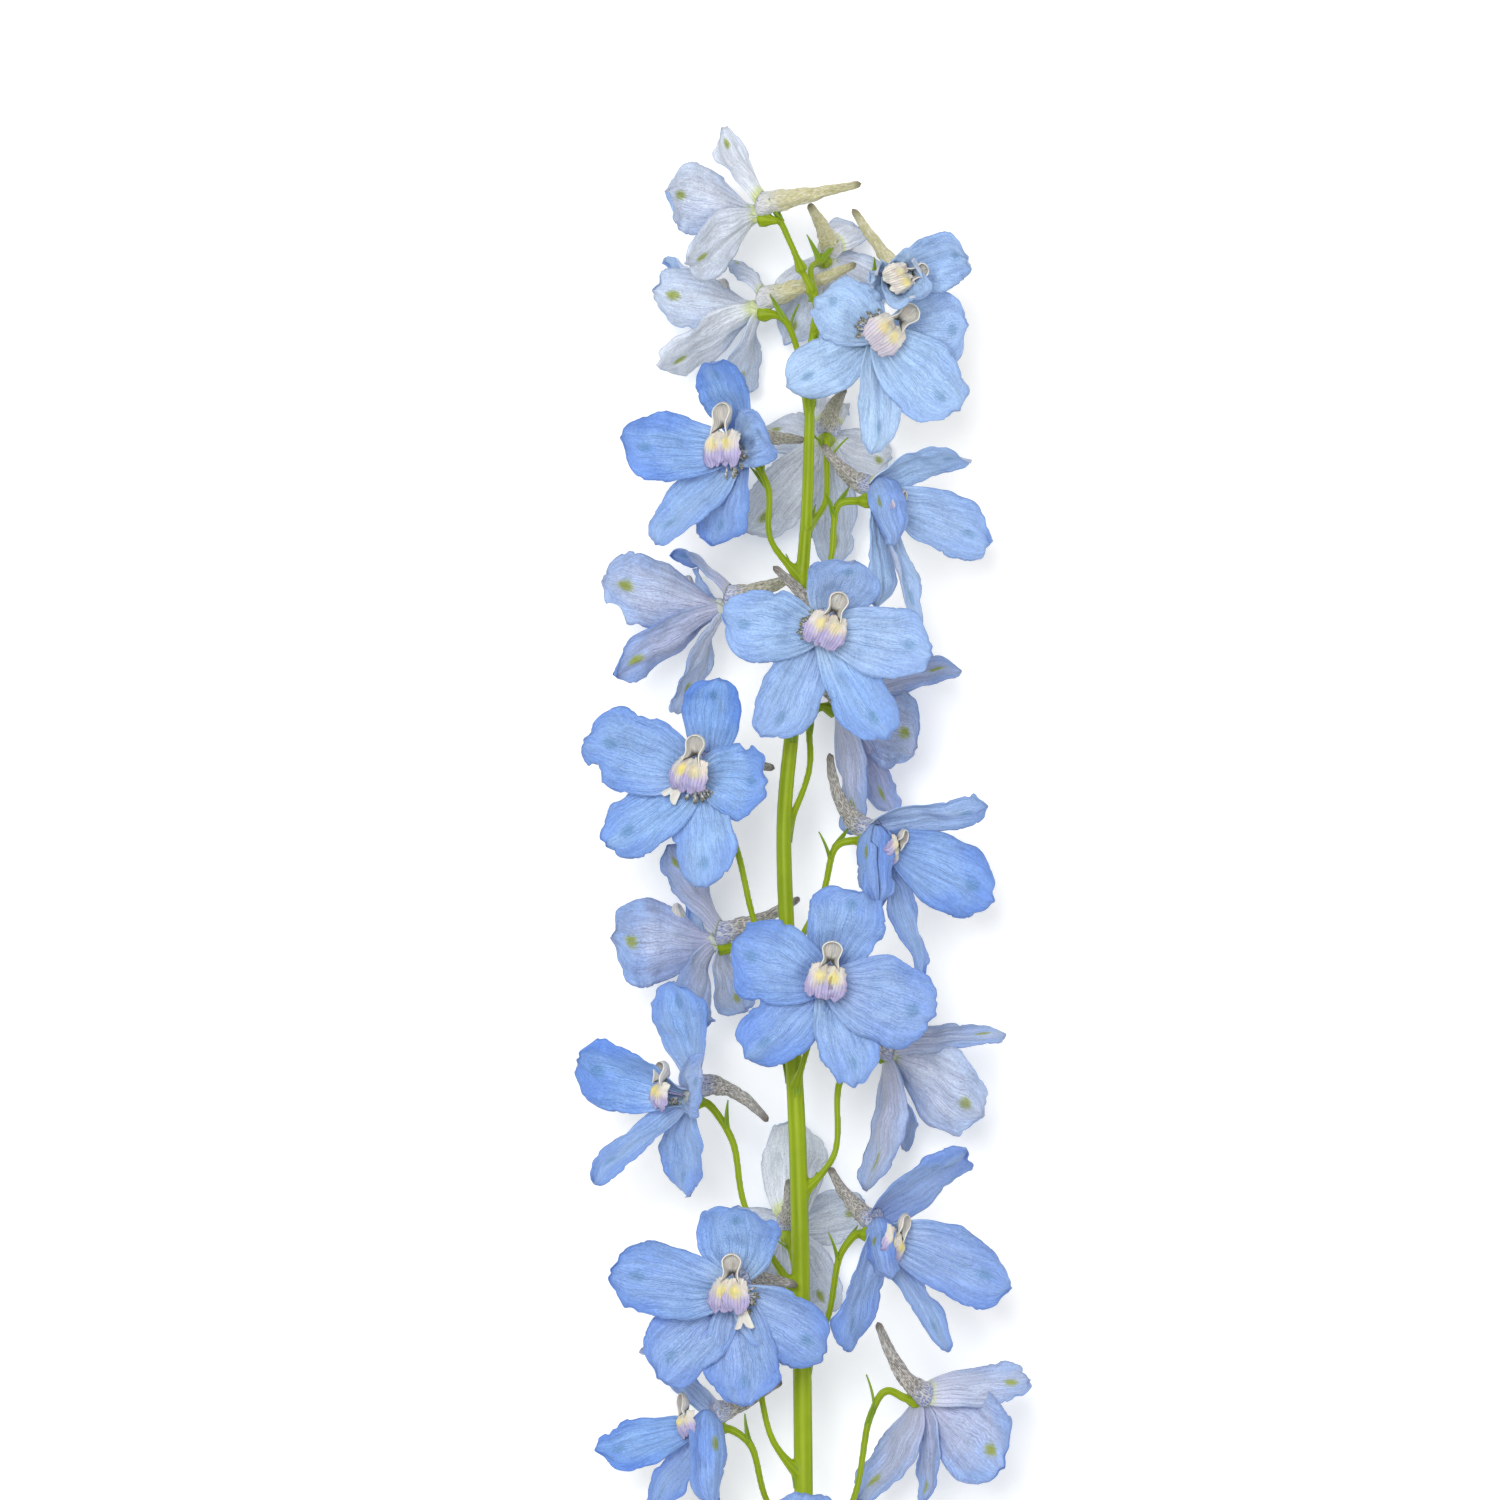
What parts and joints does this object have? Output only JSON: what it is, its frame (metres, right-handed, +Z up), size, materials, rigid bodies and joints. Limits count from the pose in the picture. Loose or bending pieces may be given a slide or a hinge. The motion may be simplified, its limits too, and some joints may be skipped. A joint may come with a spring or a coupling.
{
  "type": "delphinium flower spike",
  "caption": "Cut delphinium spike lying down: a slender green stem with side stalks that carry spurred sky-blue florets, each with ragged sepals and a pale petal centre.",
  "frame": {"origin": "centre of the footprint on the surface that the spike lies on", "axes": "+Y along the stem from its cut end to its tip, +X to the right seen from above, +Z up from the surface"},
  "size_m": [0.1012, 0.3755, 0.0544],
  "materials": {
    "green_stem": "satin, fresh green plant skin with fine ridges",
    "blue_sepals": "soft satin petals, sky blue in front with darker veins, grey lavender behind",
    "pale_petals": "soft matte petals, cream to lavender with a pale yellow patch"
  },
  "bodies": {
    "root": {"stem": "green_stem", "floret_01": "blue_sepals", "floret_02": "blue_sepals", "floret_03": "blue_sepals", "floret_04": "blue_sepals", "floret_05": "blue_sepals", "floret_06": "blue_sepals", "floret_07": "blue_sepals", "floret_08": "blue_sepals", "floret_09": "blue_sepals", "floret_10": "blue_sepals", "floret_11": "blue_sepals", "floret_12": "blue_sepals", "floret_13": "blue_sepals", "floret_14": "blue_sepals", "floret_15": "blue_sepals", "floret_16": "blue_sepals", "floret_17": "blue_sepals", "floret_18": "blue_sepals", "floret_19": "blue_sepals", "floret_20": "blue_sepals", "floret_21": "blue_sepals", "floret_22": "blue_sepals", "floret_23": "blue_sepals", "bee_01": "pale_petals", "bee_02": "pale_petals", "bee_03": "pale_petals", "bee_04": "pale_petals", "bee_05": "pale_petals", "bee_06": "pale_petals", "bee_07": "pale_petals", "bee_08": "pale_petals", "bee_09": "pale_petals", "bee_10": "pale_petals", "bee_11": "pale_petals", "bee_12": "pale_petals", "bee_13": "pale_petals", "bee_14": "pale_petals", "bee_15": "pale_petals", "bee_16": "pale_petals", "bee_17": "pale_petals", "bee_18": "pale_petals", "bee_19": "pale_petals", "bee_20": "pale_petals", "bee_21": "pale_petals", "bee_22": "pale_petals", "bee_23": "pale_petals"}
  },
  "joints": []
}
